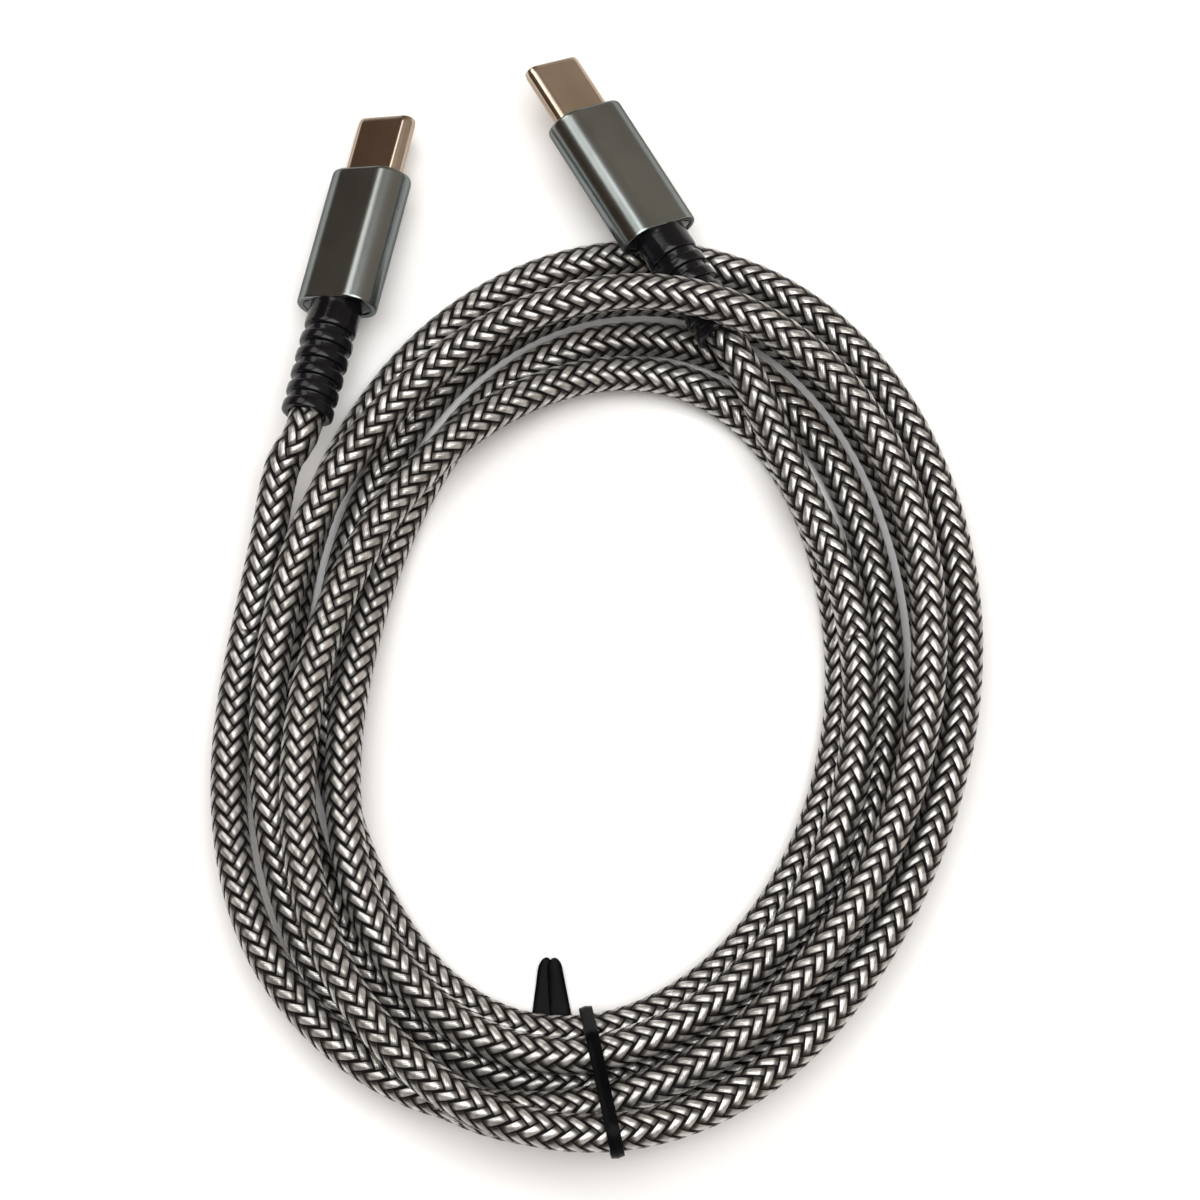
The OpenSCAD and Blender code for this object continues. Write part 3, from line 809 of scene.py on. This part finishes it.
for end, plug in plugs.items():
    body = "plug_" + end
    forms = (("housing", stadium_loft(housing_section()), housing_metal, "housing_metal"),
             ("shell", stadium_loft(shell_section()), shell_metal, "shell_metal"),
             ("boot", round_loft(boot_section()), boot_rubber, "boot_rubber"))
    for form, grid, finish, slot in forms:
        piece = make_piece(form + "_skin_" + end, [(plug.place(grid), True, None)], finish)
        weigh_normals(piece)
        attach(piece, body)
        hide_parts(form + "_" + end)


# The twist tie, in its own plane: x outwards across the bundle, y up and z along the strands.
tie_point, tie_out = oval(np.array(TIE_RING))
tie_out = leaned(tie_out)
tie_angle = np.arctan2(tie_out[1], tie_out[0]) + TIE_TURN
tie_axes = np.array([[np.cos(tie_angle), np.sin(tie_angle), 0], [0, 0, 1],
                     [np.sin(tie_angle), -np.cos(tie_angle), 0]])
tie_origin = np.append(leaned(tie_point), 0) - TIE_SLIDE * tie_axes[2]


def at_tie(points):
    """Points in the tie's own axes, put where the tie lies."""
    return points @ tie_axes + tie_origin


def oval_ring(steps):
    """A flat outline with round edges: the signed square root of cosine and sine."""
    turn = np.linspace(0, 2 * np.pi, steps, endpoint=False)
    c, s = np.cos(turn), np.sin(turn)
    return np.sign(c) * np.sqrt(np.abs(c)), np.sign(s) * np.sqrt(np.abs(s))


def strap_grid():
    """The strap along the line drawn taut round the strands: for each direction, the strand that lies
    furthest that way gives the point. A flat rounded outline is carried along it, with a low ridge over the
    wire that falls off as a bell curve."""
    strands = weave[TIE_RING::TURN_RINGS] * PITCH + (0, REST_Z)
    turn = np.linspace(0, 2 * np.pi, TAUT_POINTS)
    way = np.stack([np.cos(turn), np.sin(turn)], axis=1)
    furthest = np.argmax(way @ strands.T, axis=1)
    line = strands[furthest] + way * (CORD_D / 2 + TIE_GAP + TIE_T / 2)
    run = run_lengths(line)
    at = np.linspace(0, run[-1], STRAP_POINTS, endpoint=False)
    middle = np.stack([np.interp(at, run, line[:, k]) for k in range(2)], axis=1)[:, None]
    out = unit(np.stack([np.interp(at, run, way[:, k]) for k in range(2)], axis=1))[:, None]
    wide, thick = oval_ring(STRAP_SIDES)
    ridge = RIDGE_H * np.exp(-(wide / RIDGE_SPREAD) ** 2) * (thick > 0)
    lift = ((TIE_T / 2 - RIDGE_H) * thick + ridge)[None, :, None]
    flat = middle + out * lift
    z = np.broadcast_to(STRAP_W / 2 * wide, flat.shape[:2])[..., None]
    return at_tie(np.concatenate([flat, z], axis=-1))


def strip_grid(start, stop, middle, lean, rise):
    """A loose end: a flat ellipse carried along x from start to stop. It narrows on the way, leans sideways,
    rises with the square of the way, and its width closes on a half circle past the stop."""
    half = TAIL_W / 2
    reach = abs(stop - start)
    rounding = np.sin(np.linspace(*TIP_TURN, TIP_POINTS))
    way = np.concatenate([np.linspace(0, 1, TAIL_POINTS), 1 + half / reach * rounding])
    x = start + (stop - start) * way
    closing = np.clip((way - 1) * reach / half, 0, 1)
    share = np.sqrt(1 - closing ** 2)[:, None]
    turn = np.linspace(0, 2 * np.pi, TAIL_SIDES, endpoint=False)
    wide, thick = np.cos(turn), np.sin(turn)
    height = TIE_T / 2 + TAIL_OFF_FLOOR + rise * way[:, None] ** 2
    y = height + TIE_T / 2 * thick[None] * (TAIL_TIP_T + (1 - TAIL_TIP_T) * share)
    narrowing = (1 - TAIL_TAPER * np.clip(way, 0, 1))[:, None]
    z = middle + lean * way[:, None] + half * wide[None] * share * narrowing
    return at_tie(np.stack(np.broadcast_arrays(x[:, None], y, z), axis=-1))


# The middle between the loose ends is half the strap, the room, one end and half the gap from the tie's
# plane. They start under the innermost strand, and every second ring is a station of the weave.
tail_off = 1.5 * TIE_W + TAIL_GAP / 2 + TAIL_ROOM + TAIL_SHIFT
foot = LANES[INNER_TURN][TIE_RING // 2] * PITCH
tail_tip = foot - CORD_D / 2 - TAIL_L + TAIL_SHORT
near_end = strip_grid(start=foot, stop=tail_tip + TAIL_STEP, middle=tail_off - TAIL_SPREAD,
                      lean=TAIL_CLOSE - TAIL_LEAN, rise=TAIL_RISE[0])
far_end = strip_grid(start=foot, stop=tail_tip, middle=tail_off + TAIL_SPREAD,
                     lean=-TAIL_CLOSE - TAIL_LEAN, rise=TAIL_RISE[1])
ribbon = make_piece("tie_ribbon", [(strap_grid(), True, None)], tie_plastic)
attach(ribbon, "coil")
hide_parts("tie_strap")
ends = make_piece("tie_ends", [(near_end, False, None), (far_end, False, None)], tie_plastic)
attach(ends, "coil")
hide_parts("tie_tail")


# The solids that stay as they are get their finishes.
inside_finishes = {
    "insulator": moulded_finish(
        "insulator_plastic", dark=rgb(0.010, 0.010, 0.012), light=rgb(0.02, 0.02, 0.023), rough=0.42),
    "contacts_upper": metal_finish(
        "contact_gold", dark=rgb(0.78, 0.50, 0.16), light=rgb(0.86, 0.60, 0.22),
        rough=0.18, grain=6000.0, depth=0.000002),
    "latch_arms": shell_metal,
    "rails": moulded_finish(
        "rail_plastic", dark=rgb(0.02, 0.02, 0.024), light=rgb(0.035, 0.035, 0.04), rough=0.45),
    "board": moulded_finish(
        "board_laminate", dark=rgb(0.012, 0.07, 0.03), light=rgb(0.02, 0.1, 0.045), rough=0.35),
    "chip": moulded_finish(
        "chip_plastic", dark=rgb(0.012, 0.012, 0.013), light=rgb(0.025, 0.025, 0.027), rough=0.5),
    "capacitors": moulded_finish(
        "capacitor_ceramic", dark=rgb(0.28, 0.18, 0.1), light=rgb(0.38, 0.26, 0.16), rough=0.45),
    "core_jacket": moulded_finish(
        "core_plastic", dark=rgb(0.66, 0.66, 0.63), light=rgb(0.78, 0.78, 0.76), rough=0.4),
    "ferrule": metal_finish(
        "ferrule_metal", dark=rgb(0.55, 0.55, 0.53), light=rgb(0.65, 0.65, 0.63),
        rough=0.25, grain=5000.0, depth=0.000004)}
inside_finishes["contacts_lower"] = inside_finishes["contacts_upper"]
tie_wire = metal_finish(
    "tie_wire", dark=rgb(0.5, 0.5, 0.5), light=rgb(0.62, 0.62, 0.62),
    rough=0.3, grain=5000.0, depth=0.000003)


def dress(node, finish):
    """Gives a solid of the frame its finish in every material slot."""
    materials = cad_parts[node].data.materials
    materials.clear()
    materials.append(finish)


for end, plug in plugs.items():
    for form, finish in inside_finishes.items():
        dress(form + "_" + end, finish)
    dress("wires_" + end, wire_finish("wire_plastic_" + end, plug))
dress("tie_wire_core", tie_wire)


# The floor, the lights and the surroundings.
def floor_grid(half, top, bottom):
    """A square slab from its half width and the heights of its faces, as two rings of four corners."""
    ring = np.array([(-half, -half), (half, -half), (half, half), (-half, half)])
    low = np.column_stack([ring, np.full(4, bottom)])
    high = np.column_stack([ring, np.full(4, top)])
    return np.stack([low, high])


floor_make = Finish("floor_paint")
floor_tone = floor_make.noise(scale=6.0)
floor_paint = floor_make.done(
    Base_Color=floor_make.between(floor_tone, rgb(0.93, 0.93, 0.93), rgb(0.95, 0.95, 0.95)),
    Roughness=0.9,
    Specular_IOR_Level=0.0)
floor = make_piece("floor", [(floor_grid(half=6000.0, top=-0.05, bottom=-40.0), False, None)], floor_paint)
floor.data.polygons.foreach_set("use_smooth", np.zeros(len(floor.data.polygons), dtype=bool))


def soft_light(name, place, aim_at, size, power, colour):
    """A square soft light of a side and a power, at a place, turned to a point."""
    data = bpy.data.lights.new(name, "AREA")
    data.shape = "SQUARE"
    data.size = size
    data.energy = power
    data.color = colour
    light = bpy.data.objects.new(name, data)
    light.location = place
    away = np.array(place, dtype=float) - np.array(aim_at, dtype=float)
    turn = np.arctan2(away[0], -away[1])
    light.rotation_euler = (np.arctan2(np.hypot(away[0], away[1]), away[2]), 0.0, turn)
    bpy.context.scene.collection.objects.link(light)


soft_light("key", place=(0.05, -0.02, 0.9), aim_at=(0.0, 0.01, 0.0), size=0.75, power=7.7,
           colour=(1.0, 0.994, 0.984))
soft_light("fill", place=(-0.5, 0.5, 0.8), aim_at=(0.0, 0.0, 0.0), size=0.5, power=2.4,
           colour=(1.0, 0.97, 0.93))

world = bpy.data.worlds.new("surroundings")
world.use_nodes = True
bpy.context.scene.world = world
surroundings = Nodes(world.node_tree)
direction = surroundings.node("TexCoord", output="Generated")
sideways, _, upwards = surroundings.parts(direction)
dark_side = rgb(0.10, 0.062, 0.04)
light_side = rgb(0.42, 0.35, 0.29)
ceiling = rgb(0.8, 0.8, 0.8)
ground = rgb(0.85, 0.85, 0.85)
walls = surroundings.between(sideways.ramp(low=-0.7, high=0.8), dark_side, light_side)
room = surroundings.between(upwards.ramp(low=0.78, high=0.98), walls, ceiling)
whole = surroundings.between(upwards.ramp(low=0.0, high=0.1), ground, room)
surroundings.fill(world.node_tree.nodes["Background"], {"Color": whole, "Strength": 1.0})

bpy.context.scene.view_settings.view_transform = "Standard"
bpy.context.scene.view_settings.look = "None"
